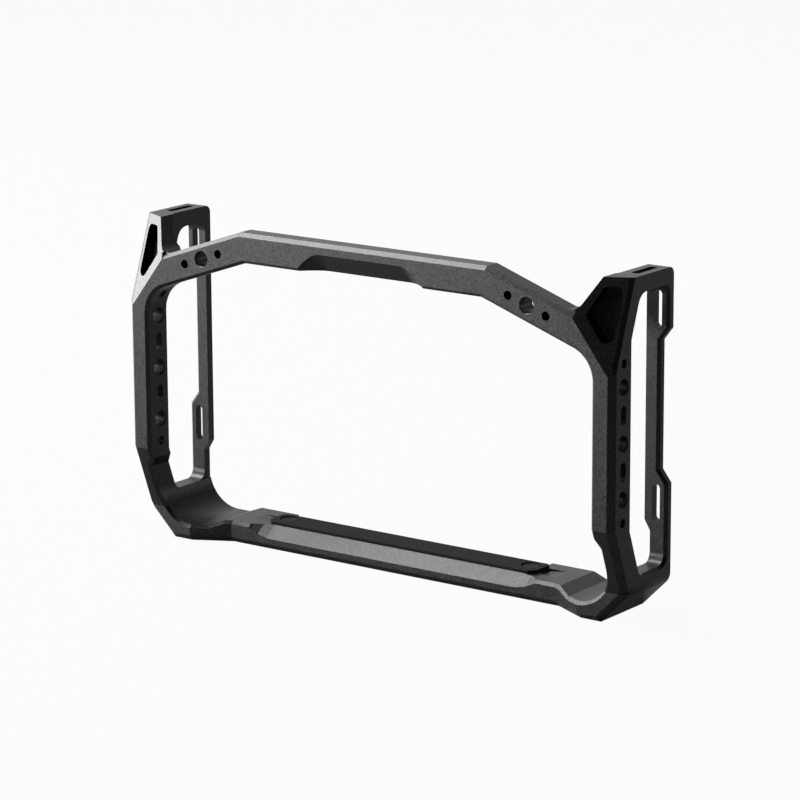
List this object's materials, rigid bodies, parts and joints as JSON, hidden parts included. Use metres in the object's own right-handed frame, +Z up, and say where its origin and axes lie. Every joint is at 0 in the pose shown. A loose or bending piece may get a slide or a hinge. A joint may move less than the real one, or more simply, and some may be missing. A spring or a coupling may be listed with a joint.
{
  "type": "monitor cage",
  "caption": "Metal cage that holds a small field monitor on a rubber pad over a lower bar with clamping screws, with threaded holes, strap slots and angled upper corners.",
  "frame": {"origin": "middle of the width and depth, at the underside of the bottom bar", "axes": "+X to the right seen from the front, +Y from the front to the back, +Z up"},
  "size_m": [0.1972, 0.035, 0.1131],
  "materials": {
    "frame": "bead-blasted, anodised dark grey",
    "pad": "matt black rubber",
    "screw": "turned steel",
    "washer": "natural nylon"
  },
  "bodies": {
    "cage": {"top_bar": "frame", "arm_l": "frame", "arm_r": "frame", "shoulder_l": "frame", "shoulder_r": "frame", "roof_l": "frame", "roof_r": "frame", "column_l": "frame", "column_r": "frame", "rear_bar_l": "frame", "rear_bar_r": "frame", "leg_l": "frame", "leg_r": "frame", "foot_l": "frame", "foot_r": "frame", "bottom_bar": "frame", "pad": "pad"},
    "washer_l": {"washer_l": "washer"},
    "screw_l": {"screw_l": "screw"},
    "washer_r": {"washer_r": "washer"},
    "screw_r": {"screw_r": "screw"}
  },
  "joints": [
    {"name": "screw_l_travel", "type": "slide", "parent": "cage", "child": "washer_l", "axis": [0, 0, 1], "range_m": [0, 0.004]},
    {"name": "screw_l_turn", "type": "hinge", "parent": "washer_l", "child": "screw_l", "pos_m": [-0.0503, 0.0088, 0], "axis": [0, 0, 1], "range_deg": [0, 1134]},
    {"name": "screw_r_travel", "type": "slide", "parent": "cage", "child": "washer_r", "axis": [0, 0, 1], "range_m": [0, 0.004]},
    {"name": "screw_r_turn", "type": "hinge", "parent": "washer_r", "child": "screw_r", "pos_m": [0.0503, 0.0088, 0], "axis": [0, 0, 1], "range_deg": [0, 1134]}
  ],
  "couplings": [
    {"joint": "screw_l_turn", "follows": "screw_l_travel", "rad_per_m": 4947.4},
    {"joint": "screw_r_turn", "follows": "screw_r_travel", "rad_per_m": 4947.4}
  ]
}
